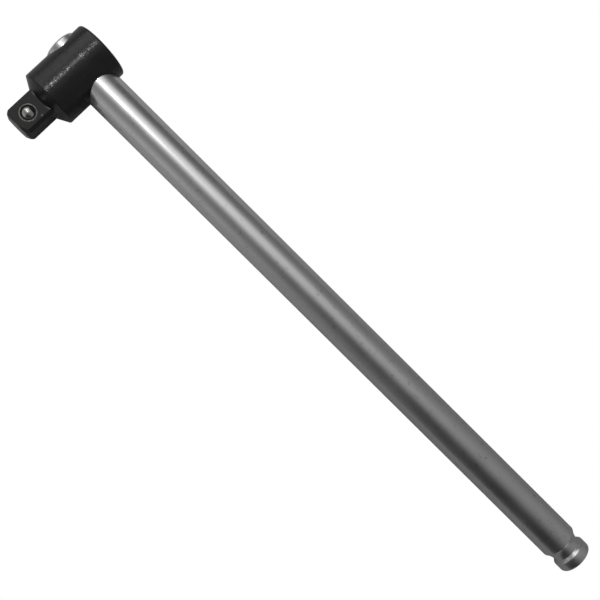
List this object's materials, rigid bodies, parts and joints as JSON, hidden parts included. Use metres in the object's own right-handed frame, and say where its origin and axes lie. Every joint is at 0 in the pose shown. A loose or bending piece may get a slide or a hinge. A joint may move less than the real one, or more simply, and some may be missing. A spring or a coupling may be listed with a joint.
{
  "type": "breaker bar",
  "caption": "Breaker bar: a round steel bar with a sliding head that carries a square drive for sockets, held by spring-loaded detent balls.",
  "frame": {"origin": "on the drive axis, in the plane where the head's taper meets the drive square; the bar's axis is 21.8 mm above it along +Y", "axes": "+X along the bar from the head to the far end; -Y is the way the drive square points; +Z is out of the square's face that carries the detent ball. The tool lies on its side"},
  "size_m": [0.3, 0.0463, 0.0246],
  "materials": {
    "chromed_steel": "satin ground and chrome plated",
    "black_oxide_steel": "semi-gloss black oxide on forged steel",
    "polished_steel": "polished hardened steel",
    "spring_steel": "drawn spring wire"
  },
  "bodies": {
    "bar": {"handle_bar": "chromed_steel"},
    "head": {"drive_head": "black_oxide_steel", "square_detent_spring": "spring_steel", "bar_detent_spring": "spring_steel"},
    "square_ball": {"square_detent_ball": "polished_steel"},
    "bar_ball": {"bar_detent_ball": "polished_steel"}
  },
  "joints": [
    {"name": "head_slide", "type": "slide", "parent": "bar", "child": "head", "axis": [1, 0, 0], "range_m": [0, 0.2848]},
    {"name": "square_ball_push", "type": "slide", "parent": "head", "child": "square_ball", "axis": [0, 0, -1], "range_m": [0, 0.00135], "stiffness_N_per_m": 2500, "springref_m": -0.004, "deforming": ["square_detent_spring"]},
    {"name": "bar_ball_rise", "type": "slide", "parent": "head", "child": "bar_ball", "axis": [0, 1, 0], "range_m": [0, 0.0013], "stiffness_N_per_m": 1500, "springref_m": 0.004, "deforming": ["bar_detent_spring"]}
  ]
}
